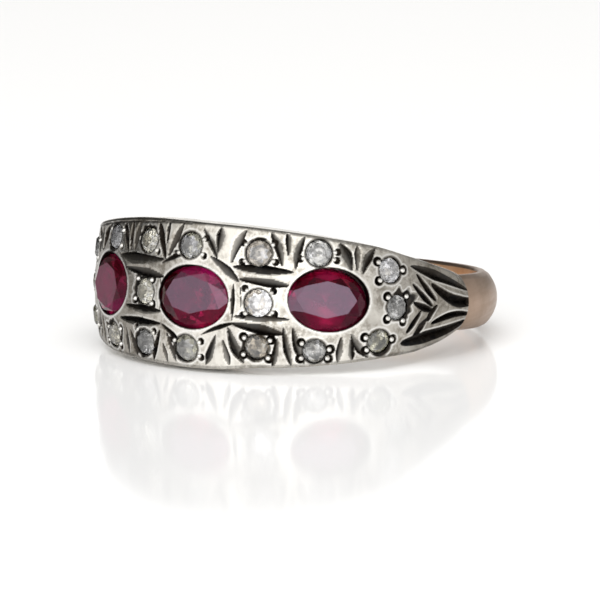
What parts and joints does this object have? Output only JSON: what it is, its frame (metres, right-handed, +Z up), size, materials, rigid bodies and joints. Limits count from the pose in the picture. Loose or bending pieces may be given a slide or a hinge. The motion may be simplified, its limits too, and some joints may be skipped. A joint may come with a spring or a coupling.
{
  "type": "ruby ring",
  "caption": "Finger ring with a wide silver head tapering into a plain rose-gold shank, flush-set oval rubies, bead-set diamonds and engraved V cuts.",
  "frame": {"origin": "centre of the finger hole, on its axis at the middle of the band's width", "axes": "+Z up with the ring lying on its side, the ruby head towards -Y and the shank towards +Y, +X to the right seen from the front; the finger hole's axis tips a little from +Z towards +Y"},
  "size_m": [0.019, 0.02, 0.0071],
  "materials": {
    "silver": "polished old silver, blackened in the cuts",
    "rose_gold": "satin, finely scratched",
    "ruby": "faceted, polished",
    "diamond": "faceted, polished"
  },
  "bodies": {
    "root": {"diamond_left_end": "diamond", "diamond_left_end_lower": "diamond", "diamond_left_end_upper": "diamond", "diamond_left_gap": "diamond", "diamond_left_gap_lower": "diamond", "diamond_left_gap_upper": "diamond", "diamond_left_ruby_lower": "diamond", "diamond_left_ruby_upper": "diamond", "diamond_middle_lower": "diamond", "diamond_middle_upper": "diamond", "diamond_right_end": "diamond", "diamond_right_end_lower": "diamond", "diamond_right_end_upper": "diamond", "diamond_right_gap": "diamond", "diamond_right_gap_lower": "diamond", "diamond_right_gap_upper": "diamond", "diamond_right_ruby_lower": "diamond", "diamond_right_ruby_upper": "diamond", "head": "silver", "ruby_left": "ruby", "ruby_middle": "ruby", "ruby_right": "ruby", "shank": "rose_gold"}
  },
  "joints": []
}
